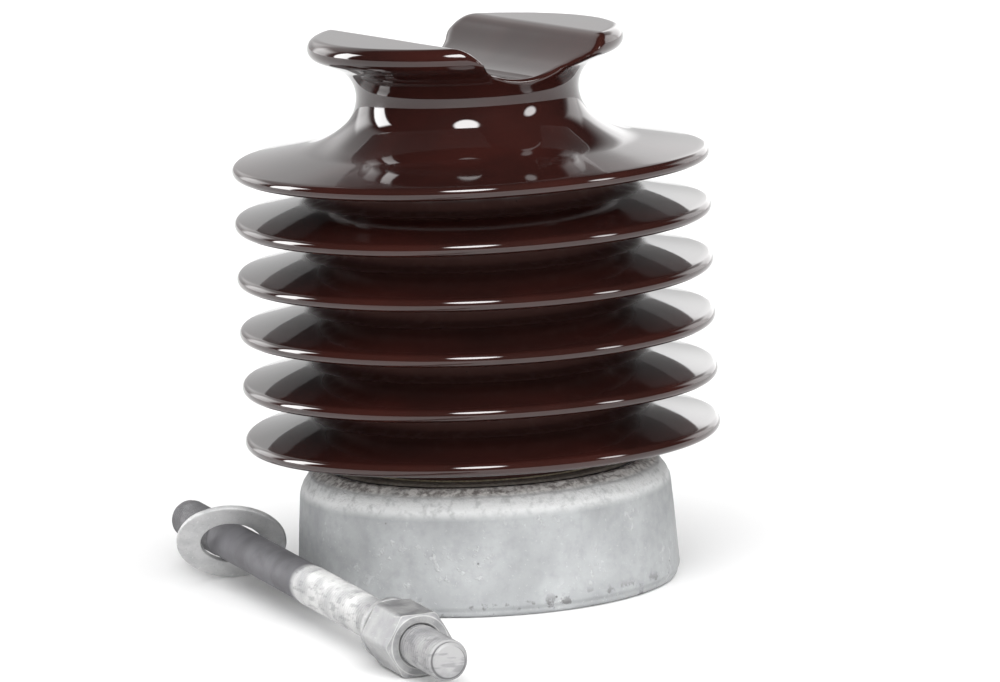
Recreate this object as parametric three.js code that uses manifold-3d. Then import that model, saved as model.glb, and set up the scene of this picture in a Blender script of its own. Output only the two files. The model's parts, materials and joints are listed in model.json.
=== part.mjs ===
// Tie-top porcelain line post insulator with its loose mounting stud.
// Millimetres, +Z up. The insulator stands on Z = 0 with the wire saddle running along Y, and the
// stud lies on the same surface beside it. The origin is the middle of the whole kit's footprint.
import * as THREE from "three";
import { mergeVertices } from "three/addons/utils/BufferGeometryUtils.js";
import Module from "manifold-3d";

const wasm = await Module();
wasm.setup();

const AXIS_X = 16.3; // the insulator's own vertical axis, from the origin
const AXIS_Y = 28.15;
const GAP = 0.3; // clearance left between pieces that touch
const ROUND_SIDES = 36; // flats round the turned pieces
const FILLET_STEPS = 2; // straight pieces along a small fillet, and along a larger arc
const ARC_STEPS = 4;
const EDGE_STEPS = 5; // along the head's upper groove and rim

// Porcelain
const SHED_COUNT = 6;
const SHED_RADIUS = 95;
const SHED_PITCH = 21.75;
const TOP_SHED_Z = 170.3; // middle of the top shed's rim
const RIM_HALF = 2.6; // half the thickness of a shed's rim
const SHED_TOP_SLOPE = THREE.MathUtils.degToRad(13);
const SHED_UNDER_SLOPE = THREE.MathUtils.degToRad(6);
const CORE_RADIUS = 58; // between the sheds
const ROOT_FILLET = 4; // where a shed meets the core
const RIM_CENTRE = SHED_RADIUS - RIM_HALF;
const SLOPE_REACH = RIM_CENTRE - CORE_RADIUS - ROOT_FILLET; // from the rim to the root fillet
const NECK_RADIUS = 44.5; // bottom of the tie groove
const NECK_Z = 198;
const GROOVE_UPPER_RADIUS = 13; // the tie groove's section above its bottom, and below it
const GROOVE_LOWER_RADIUS = 15.7;
const GROOVE_UPPER_END = 114; // degrees: where the groove runs straight on to the head's rim
const GROOVE_LOWER_END = 230; // degrees: where it opens into the flare
const FLARE_RADIUS = 40;
const FLARE_END_SLOPE = 10; // degrees: upper side of the top shed at its rim
const HEAD_RADIUS = 63;
const HEAD_TOP_Z = 222;
const HEAD_EDGE = 4.5; // rounding of the head's rim
const SADDLE_RADIUS = 38; // the wire channel across the head
const SADDLE_DEPTH = 15.5;
const SADDLE_SIDES = 40;
const FOOT_RADIUS = 54; // the cemented end
const FOOT_Z = 27;
const FOOT_RISE = 3; // the foot stands this far out of the base before the core widens

// Cement joint and iron base
const SAND_THICKNESS = 1.4;
const SAND_RISE = 1.5; // above the base's mouth
const CEMENT_RISE = 1.2; // the cement is built up towards the porcelain
const CAVITY_MOUTH_RADIUS = 63.6;
const CAVITY_FLOOR_RADIUS = 66.4; // wider than the mouth, so the cement is keyed in
const CAVITY_FLOOR_Z = 24;
const COAT_THICKNESS = 0.9;
const BASE_FOOT_RADIUS = 76.8;
const BASE_TOP_RADIUS = 74.2;
const BASE_SHOULDER = 6;
const BASE_SHOULDER_FROM = 4; // degrees: the wall leans in a little, and the shoulder ends in a slope
const BASE_SHOULDER_TO = 66;
const BASE_SHOULDER_Z = 46;
const BASE_MOUTH_Z = 49.5;
const BASE_MOUTH_LAND = 1.4; // flat ring round the mouth
const BASE_LIP_HEIGHT = 2.8;
const BASE_LIP_INSET = 1; // the lip stands in from the wall above it
const BASE_LIP_STEP = 0.8;
const BASE_FOOT_CHAMFER = 1.2;
const TAPPED_RADIUS = 8.3;
const TAPPED_CHAMFER = 1.2;
const TAPPED_DEPTH = 19;

// Stud set: an M16 double-ended stud, lying beside the base
const STUD_RADIUS = 8;
const STUD_LENGTH = 286;
const STUD_END_CHAMFER = 2;
const THREAD_RUNOUT = 1; // from the thread's full size down to the shank
const SHANK_RADIUS = 7.8;
const SHORT_THREAD = 44;
const LONG_THREAD = 146;
const STUD_HEADING = THREE.MathUtils.degToRad(8.7); // from the saddle's direction
const STUD_OFFSET = 91.5; // from the insulator's axis to the stud's line
const FAR_END_REACH = 100.5; // along the line, from its nearest point to the far end
const NUT_ACROSS_FLATS = 24;
const NUT_THICKNESS = 27;
const NUT_CHAMFER_SLOPE = 0.6; // fall of the chamfer at the nut's corners, for each mm outwards
const NUT_CHAMFER_MARGIN = 0.5; // the chamfering cone reaches this far past the corners
const NUT_FACE_AT = 256.6; // from the stud's far end to the nut's outer face
const SPRING_THICKNESS = 3.5;
const SPRING_WIDTH = 3.9;
const SPRING_INNER_RADIUS = 8.4;
const SPRING_SPLIT = THREE.MathUtils.degToRad(14);
const SPRING_RISE = 1.6; // the two ends of the split ring stand this far apart along the stud
const WASHER_RADIUS = 22.2;
const WASHER_HOLE_RADIUS = 12.4;
const WASHER_THICKNESS = 2;
const WASHER_LEAN = THREE.MathUtils.degToRad(44); // as far over as its hole lets it lean
const WASHER_LEAN_TURN = THREE.MathUtils.degToRad(-25); // which way it leans, turned about the stud
const WASHER_AT = 51; // from the stud's far end
const STUD_SIDES = 24;
const REST_CLEARANCE = 0.25; // under the nut and the leaning washer
const TILT_PASSES = 4; // the stud's tilt and the washer's height depend on each other

// Points along an arc in the (radius, height) plane, angles in degrees.
function arc(centreR, centreZ, radius, from, to, steps) {
  const points = [];
  for (let i = 0; i <= steps; i += 1) {
    const angle = THREE.MathUtils.degToRad(from + ((to - from) * i) / steps);
    points.push([centreR + radius * Math.cos(angle), centreZ + radius * Math.sin(angle)]);
  }
  return points;
}

// A solid of revolution about Z from an outline of [radius, height] points.
function turned(outline, sides = ROUND_SIDES) {
  const points = outline.map(([radius, height]) => new THREE.Vector2(radius, height));
  return new THREE.LatheGeometry(points, sides).rotateX(Math.PI / 2);
}

// A closed ring of revolution: its outline ends where it starts.
function turnedRing(outline, sides = ROUND_SIDES) {
  return turned([...outline, outline[0]], sides);
}

function toSolid(geometry) {
  const bare = geometry.index ? geometry.toNonIndexed() : geometry.clone();
  bare.deleteAttribute("normal");
  bare.deleteAttribute("uv");
  const merged = mergeVertices(bare, 1e-3);
  return new wasm.Manifold(
    new wasm.Mesh({
      numProp: 3,
      vertProperties: new Float32Array(merged.attributes.position.array),
      triVerts: new Uint32Array(merged.index.array),
    }),
  );
}

function toGeometry(solid) {
  const mesh = solid.getMesh();
  const geometry = new THREE.BufferGeometry();
  geometry.setAttribute("position", new THREE.BufferAttribute(mesh.vertProperties, 3));
  geometry.setIndex(new THREE.BufferAttribute(mesh.triVerts, 1));
  geometry.computeVertexNormals();
  return geometry;
}

function material(colour, roughness, metalness) {
  return new THREE.MeshStandardMaterial({ color: colour, roughness, metalness });
}

function named(name, geometry, finish) {
  const mesh = new THREE.Mesh(geometry, finish);
  mesh.name = name;
  return mesh;
}

const BROWN_GLAZE = material("#2e1715", 0.08, 0);
const SAND = material("#b7a98f", 0.95, 0);
const BITUMEN = material("#17161a", 0.6, 0);
const CEMENT = material("#8d8b86", 0.9, 0);
const CORK = material("#9a7248", 0.9, 0);
const GALVANISED_CASTING = material("#b4b6b8", 0.55, 0.6);
const GALVANISED_STEEL = material("#c3c4c6", 0.4, 0.8);
const SHANK_STEEL = material("#808084", 0.45, 0.8);

// ---- Porcelain body: head, tie groove, sheds, core and foot in one fired piece ----

// A shed's underside and rim, from its lower root. The rim ends where the upper side's slope starts.
function shedUnderside(rimZ, overSlope) {
  const under = THREE.MathUtils.radToDeg(SHED_UNDER_SLOPE);
  const rootZ = rimZ - RIM_HALF + SLOPE_REACH * Math.tan(SHED_UNDER_SLOPE) - ROOT_FILLET;
  return [
    ...arc(CORE_RADIUS + ROOT_FILLET, rootZ, ROOT_FILLET, 180, 90 - under, FILLET_STEPS),
    ...arc(RIM_CENTRE, rimZ, RIM_HALF, -90 - under, 90 - overSlope, ARC_STEPS),
  ];
}

// One shed's outline, from its lower root to its upper root.
function shedOutline(rimZ) {
  const over = THREE.MathUtils.radToDeg(SHED_TOP_SLOPE);
  const rootZ = rimZ + RIM_HALF + SLOPE_REACH * Math.tan(SHED_TOP_SLOPE) + ROOT_FILLET;
  return [
    ...shedUnderside(rimZ, over),
    ...arc(CORE_RADIUS + ROOT_FILLET, rootZ, ROOT_FILLET, 270 - over, 180, FILLET_STEPS),
  ];
}

// The top shed flares up into the tie groove, and the groove runs out into the head's rim.
function headOutline() {
  const upperR = NECK_RADIUS + GROOVE_UPPER_RADIUS;
  const lowerR = NECK_RADIUS + GROOVE_LOWER_RADIUS;
  const flareAngle = THREE.MathUtils.degToRad(GROOVE_LOWER_END);
  const flareR = lowerR - (FLARE_RADIUS - GROOVE_LOWER_RADIUS) * Math.cos(flareAngle);
  const flareZ = NECK_Z - (FLARE_RADIUS - GROOVE_LOWER_RADIUS) * Math.sin(flareAngle);
  const rimR = HEAD_RADIUS - HEAD_EDGE;
  const rimZ = HEAD_TOP_Z - HEAD_EDGE;
  return [
    ...shedUnderside(TOP_SHED_Z, FLARE_END_SLOPE),
    ...arc(flareR, flareZ, FLARE_RADIUS, 270 - FLARE_END_SLOPE, GROOVE_LOWER_END, ARC_STEPS),
    ...arc(lowerR, NECK_Z, GROOVE_LOWER_RADIUS, GROOVE_LOWER_END, 180, ARC_STEPS).slice(1),
    ...arc(upperR, NECK_Z, GROOVE_UPPER_RADIUS, 180, GROOVE_UPPER_END, EDGE_STEPS).slice(1),
    ...arc(rimR, rimZ, HEAD_EDGE, GROOVE_UPPER_END - 180, 90, EDGE_STEPS),
    [0, HEAD_TOP_Z],
  ];
}

function porcelainBody() {
  const outline = [
    [0, FOOT_Z],
    [FOOT_RADIUS, FOOT_Z],
    [FOOT_RADIUS, BASE_MOUTH_Z + FOOT_RISE],
  ];
  for (let shed = SHED_COUNT - 1; shed > 0; shed -= 1) {
    outline.push(...shedOutline(TOP_SHED_Z - shed * SHED_PITCH));
  }
  outline.push(...headOutline());
  const length = 3 * HEAD_RADIUS;
  const saddle = new THREE.CylinderGeometry(SADDLE_RADIUS, SADDLE_RADIUS, length, SADDLE_SIDES);
  saddle.translate(0, 0, HEAD_TOP_Z - SADDLE_DEPTH + SADDLE_RADIUS);
  const body = toSolid(turned(outline)).subtract(toSolid(saddle));
  return named("porcelain_body", toGeometry(body), BROWN_GLAZE);
}

// ---- Cement joint ----

// The cavity wall's radius at a height: it narrows from the floor to the mouth.
function cavityRadius(z) {
  const rise = (z - CAVITY_FLOOR_Z) / (BASE_MOUTH_Z - CAVITY_FLOOR_Z);
  return THREE.MathUtils.lerp(CAVITY_FLOOR_RADIUS, CAVITY_MOUTH_RADIUS, rise);
}

function sandBand() {
  const inner = FOOT_RADIUS + GAP;
  const outer = inner + SAND_THICKNESS;
  const low = FOOT_Z;
  const high = BASE_MOUTH_Z + SAND_RISE;
  const outline = [[inner, low], [outer, low], [outer, high], [inner, high]];
  return named("sand_band", turnedRing(outline), SAND);
}

function cementRing() {
  const inner = FOOT_RADIUS + SAND_THICKNESS + 2 * GAP;
  const low = CAVITY_FLOOR_Z + GAP;
  const wall = (z) => cavityRadius(z) - COAT_THICKNESS - 2 * GAP;
  const outline = [
    [inner, low],
    [wall(low), low],
    [wall(BASE_MOUTH_Z), BASE_MOUTH_Z],
    [inner, BASE_MOUTH_Z + CEMENT_RISE],
  ];
  return named("cement_ring", turnedRing(outline), CEMENT);
}

function bitumenCoat() {
  const low = CAVITY_FLOOR_Z + GAP;
  const outer = (z) => cavityRadius(z) - GAP;
  const inner = (z) => outer(z) - COAT_THICKNESS;
  const outline = [
    [inner(low), low],
    [outer(low), low],
    [outer(BASE_MOUTH_Z), BASE_MOUTH_Z],
    [inner(BASE_MOUTH_Z), BASE_MOUTH_Z],
  ];
  return named("bitumen_coat", turnedRing(outline), BITUMEN);
}

function corkDisc() {
  const low = CAVITY_FLOOR_Z + GAP;
  const high = FOOT_Z - GAP;
  const radius = FOOT_RADIUS;
  return named("cork_disc", turned([[0, low], [radius, low], [radius, high], [0, high]]), CORK);
}

// ---- Iron base: a cup with a blind tapped hole for the stud ----

function baseCap() {
  const shoulderR = BASE_TOP_RADIUS - BASE_SHOULDER;
  const shoulderZ = BASE_SHOULDER_Z - BASE_SHOULDER;
  const lipR = BASE_FOOT_RADIUS - BASE_LIP_INSET;
  const outline = [
    [0, TAPPED_DEPTH],
    [TAPPED_RADIUS, TAPPED_DEPTH],
    [TAPPED_RADIUS, TAPPED_CHAMFER],
    [TAPPED_RADIUS + TAPPED_CHAMFER, 0],
    [lipR - BASE_FOOT_CHAMFER, 0],
    [lipR, BASE_FOOT_CHAMFER],
    [lipR, BASE_LIP_HEIGHT],
    [BASE_FOOT_RADIUS, BASE_LIP_HEIGHT + BASE_LIP_STEP],
    ...arc(shoulderR, shoulderZ, BASE_SHOULDER, BASE_SHOULDER_FROM, BASE_SHOULDER_TO, ARC_STEPS),
    [CAVITY_MOUTH_RADIUS + BASE_MOUTH_LAND, BASE_MOUTH_Z],
    [CAVITY_MOUTH_RADIUS, BASE_MOUTH_Z],
    [CAVITY_FLOOR_RADIUS, CAVITY_FLOOR_Z],
    [0, CAVITY_FLOOR_Z],
  ];
  return named("base_cap", turned(outline), GALVANISED_CASTING);
}

// ---- Stud set, built along Z from the stud's far end, then laid down ----

function stud() {
  const end = STUD_RADIUS - STUD_END_CHAMFER;
  const shankFrom = SHORT_THREAD;
  const shankTo = STUD_LENGTH - LONG_THREAD;
  const outline = [
    [0, 0],
    [end, 0],
    [STUD_RADIUS, STUD_END_CHAMFER],
    [STUD_RADIUS, shankFrom - THREAD_RUNOUT],
    [SHANK_RADIUS, shankFrom],
    [SHANK_RADIUS, shankTo],
    [STUD_RADIUS, shankTo + THREAD_RUNOUT],
    [STUD_RADIUS, STUD_LENGTH - STUD_END_CHAMFER],
    [end, STUD_LENGTH],
    [0, STUD_LENGTH],
  ];
  return named("stud", turned(outline, STUD_SIDES), SHANK_STEEL);
}

function hexNut() {
  const corner = NUT_ACROSS_FLATS / Math.sqrt(3);
  const hexagon = new THREE.Shape();
  for (let i = 0; i < 6; i += 1) {
    const angle = (i * Math.PI) / 3;
    const [x, y] = [corner * Math.cos(angle), corner * Math.sin(angle)];
    if (i === 0) {
      hexagon.moveTo(x, y);
    } else {
      hexagon.lineTo(x, y);
    }
  }
  hexagon.closePath();
  const bore = new THREE.Path().absarc(0, 0, STUD_RADIUS + GAP, 0, 2 * Math.PI, true);
  hexagon.holes.push(bore);
  const options = { depth: NUT_THICKNESS, bevelEnabled: false, curveSegments: STUD_SIDES / 2 };
  const prism = new THREE.ExtrudeGeometry(hexagon, options);
  const flatR = NUT_ACROSS_FLATS / 2;
  const coneR = corner + NUT_CHAMFER_MARGIN;
  const fall = (coneR - flatR) * NUT_CHAMFER_SLOPE;
  const cone = turned([
    [0, 0],
    [flatR, 0],
    [coneR, fall],
    [coneR, NUT_THICKNESS - fall],
    [flatR, NUT_THICKNESS],
    [0, NUT_THICKNESS],
  ], STUD_SIDES);
  const chamfered = toSolid(prism).intersect(toSolid(cone));
  const nut = named("hex_nut", toGeometry(chamfered), GALVANISED_STEEL);
  nut.position.z = NUT_FACE_AT - NUT_THICKNESS;
  return nut;
}

// A split ring: a flat C whose ends are sprung apart along the stud.
function springWasher() {
  const outer = SPRING_INNER_RADIUS + SPRING_WIDTH;
  const from = SPRING_SPLIT / 2;
  const to = 2 * Math.PI - SPRING_SPLIT / 2;
  const ring = new THREE.Shape();
  ring.absarc(0, 0, outer, from, to, false);
  ring.absarc(0, 0, SPRING_INNER_RADIUS, to, from, true);
  ring.closePath();
  const options = { depth: SPRING_THICKNESS, bevelEnabled: false, curveSegments: STUD_SIDES / 2 };
  const geometry = new THREE.ExtrudeGeometry(ring, options);
  const place = geometry.attributes.position;
  for (let i = 0; i < place.count; i += 1) {
    const angle = (Math.atan2(place.getY(i), place.getX(i)) + 2 * Math.PI) % (2 * Math.PI);
    place.setZ(i, place.getZ(i) + (SPRING_RISE * angle) / (2 * Math.PI));
  }
  const washer = named("spring_washer", geometry, GALVANISED_STEEL);
  washer.position.z = NUT_FACE_AT - NUT_THICKNESS - SPRING_THICKNESS - SPRING_RISE - GAP;
  return washer;
}

function flatWasher() {
  const half = WASHER_THICKNESS / 2;
  const outline = [
    [WASHER_HOLE_RADIUS, -half],
    [WASHER_RADIUS, -half],
    [WASHER_RADIUS, half],
    [WASHER_HOLE_RADIUS, half],
  ];
  const washer = named("flat_washer", turnedRing(outline), GALVANISED_STEEL);
  washer.position.z = WASHER_AT;
  washer.rotation.set(WASHER_LEAN, 0, WASHER_LEAN_TURN, "ZXY");
  return washer;
}

// The stud lies on the nut near one end and on the leaning washer near the other, so it is not level.
function studSet() {
  const nutAxisZ = NUT_ACROSS_FLATS / 2 + REST_CLEARANCE;
  const leanDown = Math.cos(WASHER_LEAN_TURN) * Math.sin(WASHER_LEAN);
  let tilt = 0;
  let washerAxisZ = 0;
  for (let pass = 0; pass < TILT_PASSES; pass += 1) {
    const fall = leanDown * Math.cos(tilt) + Math.cos(WASHER_LEAN) * Math.sin(tilt);
    const washerHalf = WASHER_RADIUS * Math.sqrt(1 - fall ** 2) + (WASHER_THICKNESS / 2) * fall;
    washerAxisZ = washerHalf + REST_CLEARANCE;
    tilt = Math.asin((washerAxisZ - nutAxisZ) / (NUT_FACE_AT - WASHER_AT));
  }
  const set = new THREE.Group();
  set.add(stud(), hexNut(), springWasher(), flatWasher());
  const away = new THREE.Vector3(-Math.cos(STUD_HEADING), Math.sin(STUD_HEADING), 0);
  const along = new THREE.Vector3(
    -Math.sin(STUD_HEADING) * Math.cos(tilt),
    -Math.cos(STUD_HEADING) * Math.cos(tilt),
    -Math.sin(tilt),
  );
  const side = away.clone().negate();
  const up = new THREE.Vector3().crossVectors(along, side);
  set.quaternion.setFromRotationMatrix(new THREE.Matrix4().makeBasis(side, up, along));
  set.position.set(AXIS_X, AXIS_Y, 0);
  set.position.addScaledVector(away, STUD_OFFSET);
  set.position.addScaledVector(along, -FAR_END_REACH);
  set.position.z = washerAxisZ + WASHER_AT * Math.sin(tilt);
  return set;
}

const insulator = new THREE.Group();
insulator.add(porcelainBody(), sandBand(), bitumenCoat(), cementRing(), corkDisc(), baseCap());
insulator.position.set(AXIS_X, AXIS_Y, 0);

const kit = new THREE.Group();
kit.add(insulator, studSet());

export default kit;
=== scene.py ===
"""Tie-top porcelain line post insulator with its loose mounting stud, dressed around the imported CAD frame.

Pieces are built in millimetres: the turned pieces round their own axis, the stud set along Z from the
stud's far end. Each is then laid into the row frame, in metres, where the CAD node it stands for lies.
"""

import json
import math

import bpy
import numpy as np
from mathutils import Matrix, Vector, noise


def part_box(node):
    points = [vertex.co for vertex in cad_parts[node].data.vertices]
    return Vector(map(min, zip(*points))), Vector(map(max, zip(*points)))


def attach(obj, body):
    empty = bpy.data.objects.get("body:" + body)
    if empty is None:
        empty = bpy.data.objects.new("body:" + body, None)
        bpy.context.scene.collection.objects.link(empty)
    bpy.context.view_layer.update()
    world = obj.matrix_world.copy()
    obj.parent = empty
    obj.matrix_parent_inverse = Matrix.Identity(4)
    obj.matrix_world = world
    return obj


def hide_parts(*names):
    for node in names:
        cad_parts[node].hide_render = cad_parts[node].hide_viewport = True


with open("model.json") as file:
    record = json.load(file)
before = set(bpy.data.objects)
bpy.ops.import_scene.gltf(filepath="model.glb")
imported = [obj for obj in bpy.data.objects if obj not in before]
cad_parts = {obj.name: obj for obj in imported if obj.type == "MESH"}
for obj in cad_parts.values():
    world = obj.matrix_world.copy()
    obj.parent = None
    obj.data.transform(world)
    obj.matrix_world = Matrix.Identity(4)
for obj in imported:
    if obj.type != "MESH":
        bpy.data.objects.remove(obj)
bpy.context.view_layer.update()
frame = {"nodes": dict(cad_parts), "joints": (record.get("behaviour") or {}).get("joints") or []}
MM = 0.001

# The insulator stands where its base stands.
base_low, base_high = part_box("base_cap")
AXIS = Matrix.Translation(((base_low.x + base_high.x) / 2, (base_low.y + base_high.y) / 2, 0))

# The stud set's own axes: Z along the stud from its far end to the nut, X towards the insulator.
joints = {joint["name"]: joint for joint in frame["joints"]}
along = Vector(joints["nut_turn"]["axis"]).normalized()
side = -Vector(joints["stud_draw_out"]["axis"]).normalized()
stud_points = np.array([v.co for v in frame["nodes"]["stud"].data.vertices])
nut_centre = Vector(joints["nut_turn"]["pos_m"])
stud_reach = (stud_points - np.array(nut_centre)) @ np.array(along)
STUD_LENGTH = float(stud_reach.max() - stud_reach.min()) / MM
NUT_AT = -float(stud_reach.min()) / MM
LYING = Matrix((side, along.cross(side), along)).transposed().to_4x4()
LYING.translation = nut_centre - along * NUT_AT * MM


# ---- Shapes -------------------------------------------------------------------------------------

def arc(centre_r, centre_z, radius, start, end, step=0.35):
    """Points along an arc in the (radius, height) plane, angles in degrees."""
    steps = max(4, math.ceil(radius * math.radians(abs(end - start)) / step))
    angles = np.radians(np.linspace(start, end, steps + 1))
    return list(zip(centre_r + radius * np.cos(angles), centre_z + radius * np.sin(angles)))


def rounded(corners, steps=5):
    """An outline of (radius, height, rounding) corners with each corner rounded off."""
    points = []
    for i, (r, z, rounding) in enumerate(corners):
        here = np.array((r, z), float)
        if not rounding or i in (0, len(corners) - 1):
            points.append(tuple(here))
            continue
        before = np.array(corners[i - 1][:2], float) - here
        after = np.array(corners[i + 1][:2], float) - here
        reach = min(rounding, 0.45 * np.linalg.norm(before), 0.45 * np.linalg.norm(after))
        a = here + before / np.linalg.norm(before) * reach
        b = here + after / np.linalg.norm(after) * reach
        for t in np.linspace(0, 1, steps):
            points.append(tuple((1 - t) ** 2 * a + 2 * t * (1 - t) * here + t * t * b))
    return points


def dense(points, step):
    """The same outline with no stretch longer than step."""
    made = [points[0]]
    for (r0, z0), (r1, z1) in zip(points[:-1], points[1:]):
        steps = max(1, math.ceil(math.hypot(r1 - r0, z1 - z0) / step))
        made += [(r0 + (r1 - r0) * k / steps, z0 + (z1 - z0) * k / steps) for k in range(1, steps + 1)]
    return made


def revolved(outline, columns):
    """Rows of points, (row, column, xyz), of an outline turned round Z."""
    theta = np.linspace(0, 2 * math.pi, columns, endpoint=False)
    outline = np.array(outline, float)
    r, z = outline[:, :1], outline[:, 1:]
    return np.stack([r * np.cos(theta), r * np.sin(theta), np.broadcast_to(z, (len(r), columns))], -1)


def piece(name, grid, place, body, stands_for, material, ring=False, values=None):
    """A closed mesh from a grid of points that goes round with its columns. Its first and last rows
    each meet in one point, unless it is a ring, whose last row joins its first."""
    rows, columns = grid.shape[:2]
    if ring:
        points = grid.reshape(-1, 3)
        row_at = [i * columns for i in range(rows)] + [0]
    else:
        points = np.concatenate([grid[0, :1], grid[1:-1].reshape(-1, 3), grid[-1, :1]])
        row_at = [None] + [1 + i * columns for i in range(rows - 2)] + [None]
    faces = []
    for lower, upper in zip(row_at[:-1], row_at[1:]):
        for j in range(columns):
            k = (j + 1) % columns
            if lower is None:
                faces.append((0, upper + k, upper + j))
            elif upper is None:
                faces.append((lower + j, lower + k, len(points) - 1))
            else:
                faces.append((lower + j, lower + k, upper + k, upper + j))
    mesh = bpy.data.meshes.new(name)
    mesh.from_pydata([tuple(p) for p in points * MM], [], faces)
    mesh.transform(place)
    mesh.update()
    mesh.shade_smooth()
    for key, grid_value in (values or {}).items():
        if ring:
            flat = grid_value.reshape(-1)
        else:
            flat = np.concatenate([grid_value[0, :1], grid_value[1:-1].reshape(-1), grid_value[-1, :1]])
        mesh.attributes.new(key, "FLOAT", "POINT").data.foreach_set("value", flat.astype(np.float32))
    mesh.materials.append(material)
    made = bpy.data.objects.new(name, mesh)
    bpy.context.scene.collection.objects.link(made)
    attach(made, body)
    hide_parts(*stands_for)
    return made


def roughened(grid, coarse, fine, coarse_size=14.0, fine_size=3.0, seed=0.0):
    """The grid pushed in and out along its normals by noise, amounts and sizes in millimetres."""
    normal = grid_normals(grid)
    flat = grid.reshape(-1, 3)
    amount = np.empty(len(flat))
    for i, p in enumerate(flat):
        q = Vector(p)
        amount[i] = coarse * noise.noise(q / coarse_size + Vector((seed, 0, 0)))
        amount[i] += fine * noise.fractal(q / fine_size + Vector((0, seed, 0)), 1.0, 2.0, 3)
    return grid + normal * amount.reshape(*grid.shape[:2], 1)


def grid_normals(grid):
    """Outward normals of a turned grid, whose outline runs with the solid on its left."""
    round_it = np.roll(grid, -1, axis=1) - np.roll(grid, 1, axis=1)
    up = np.gradient(grid, axis=0)
    normal = np.cross(round_it, up)
    length = np.linalg.norm(normal, axis=2, keepdims=True)
    return normal / np.maximum(length, 1e-9)


# ---- Materials ----------------------------------------------------------------------------------

def linear(r, g, b):
    """A colour given as 0 to 255 numbers, as the shader wants it."""
    return tuple(((c / 255 + 0.055) / 1.055) ** 2.4 if c > 10 else c / 255 / 12.92 for c in (r, g, b)) + (1,)


class Shader:
    """A procedural material, put together node by node."""

    def __init__(self, name):
        self.material = bpy.data.materials.new(name)
        self.material.use_nodes = True
        self.tree = self.material.node_tree
        self.tree.nodes.clear()
        self.surface = self.node("ShaderNodeBsdfPrincipled")
        out = self.node("ShaderNodeOutputMaterial")
        self.tree.links.new(self.surface.outputs[0], out.inputs[0])
        self.place = self.node("ShaderNodeTexCoord").outputs["Object"]

    def node(self, kind, inputs=None, **settings):
        made = self.tree.nodes.new(kind)
        for key, value in settings.items():
            setattr(made, key, value)
        for key, value in (inputs or {}).items():
            self.put(made.inputs[key], value)
        return made

    def put(self, socket, value):
        if isinstance(value, bpy.types.NodeSocket):
            self.tree.links.new(value, socket)
        else:
            socket.default_value = value

    def set(self, **inputs):
        for key, value in inputs.items():
            self.put(self.surface.inputs[key.replace("_", " ")], value)

    def stretched(self, x, y, z):
        """The object's own coordinates, scaled by these amounts: below 1 draws a pattern out."""
        inputs = {0: self.place, 1: (x, y, z)}
        return self.node("ShaderNodeVectorMath", inputs, operation="MULTIPLY").outputs[0]

    def noise(self, size, detail=4.0, rough=0.55, place=None, distortion=0.0):
        """Noise with features of about this size, in millimetres."""
        inputs = {"Vector": place or self.place, "Scale": 1 / (size * MM), "Detail": detail,
                  "Roughness": rough, "Distortion": distortion}
        return self.node("ShaderNodeTexNoise", inputs).outputs["Fac"]

    def cells(self, size):
        """Distance to scattered points about this far apart, in millimetres, and each one's own tint."""
        made = self.node("ShaderNodeTexVoronoi", {"Vector": self.place, "Scale": 1 / (size * MM)})
        return made.outputs["Distance"], made.outputs["Color"]

    def attribute(self, name):
        return self.node("ShaderNodeAttribute", attribute_name=name).outputs["Fac"]

    def math(self, operation, a, b=0.0):
        return self.node("ShaderNodeMath", {0: a, 1: b}, operation=operation).outputs[0]

    def step(self, value, low, high, to_low=0.0, to_high=1.0):
        inputs = {"Value": value, "From Min": low, "From Max": high, "To Min": to_low, "To Max": to_high}
        return self.node("ShaderNodeMapRange", inputs, interpolation_type="SMOOTHSTEP").outputs["Result"]

    def mix(self, amount, a, b):
        made = self.node("ShaderNodeMix", data_type="RGBA")
        self.put(made.inputs["Factor"], amount)
        self.put(made.inputs[6], a)
        self.put(made.inputs[7], b)
        return made.outputs[2]

    def bump(self, height, depth, normal=None, strength=1.0):
        """A bump whose full height is this deep, in millimetres."""
        inputs = {"Height": height, "Distance": depth * MM, "Strength": strength}
        if normal is not None:
            inputs["Normal"] = normal
        return self.node("ShaderNodeBump", inputs).outputs["Normal"]


def glaze():
    """Chocolate brown glaze, poured thick: a mirror gloss over a body that shows where it runs thin."""
    s = Shader("brown_glaze")
    clouds = s.noise(38, 3)
    thin = s.attribute("thin")
    brown = s.mix(s.step(clouds, 0.35, 0.7), linear(36, 18, 16), linear(46, 21, 18))
    brown = s.mix(s.math("MULTIPLY", thin, 0.45), brown, linear(54, 28, 22))
    # Between the sheds the brown is lifted towards a paler dusty tone. This is partly dust and partly painted
    # light, standing in for the light the sheds keep off.
    deep = s.attribute("deep")
    brown = s.mix(s.math("MULTIPLY", deep, 0.85), brown, linear(80, 55, 51))
    dots, _ = s.cells(5.5)
    dark_dot = s.step(dots, 0.035, 0.07, 1.0, 0.0)
    brown = s.mix(s.math("MULTIPLY", dark_dot, 0.6), brown, linear(12, 7, 7))
    ripple = s.noise(2.6, 2, 0.4)
    roll = s.noise(11, 2, 0.4)
    pin, _ = s.cells(9)
    pinhole = s.step(pin, 0.012, 0.03, 0.0, 1.0)
    normal = s.bump(ripple, 0.004)
    normal = s.bump(roll, 0.012, normal)
    normal = s.bump(pinhole, 0.03, normal)
    dust = s.math("MULTIPLY", deep, s.step(s.noise(8, 5, 0.6), 0.2, 0.6, 0.6, 1.0))
    gloss = s.math("ADD", s.step(s.noise(21, 5), 0.3, 0.7, 0.035, 0.075), s.math("MULTIPLY", dust, 0.5))
    s.set(Base_Color=brown, Roughness=gloss, IOR=1.6, Normal=normal)
    s.put(s.surface.inputs["Specular IOR Level"], s.step(dust, 0.0, 1.0, 0.5, 0.06))
    return s.material


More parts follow.
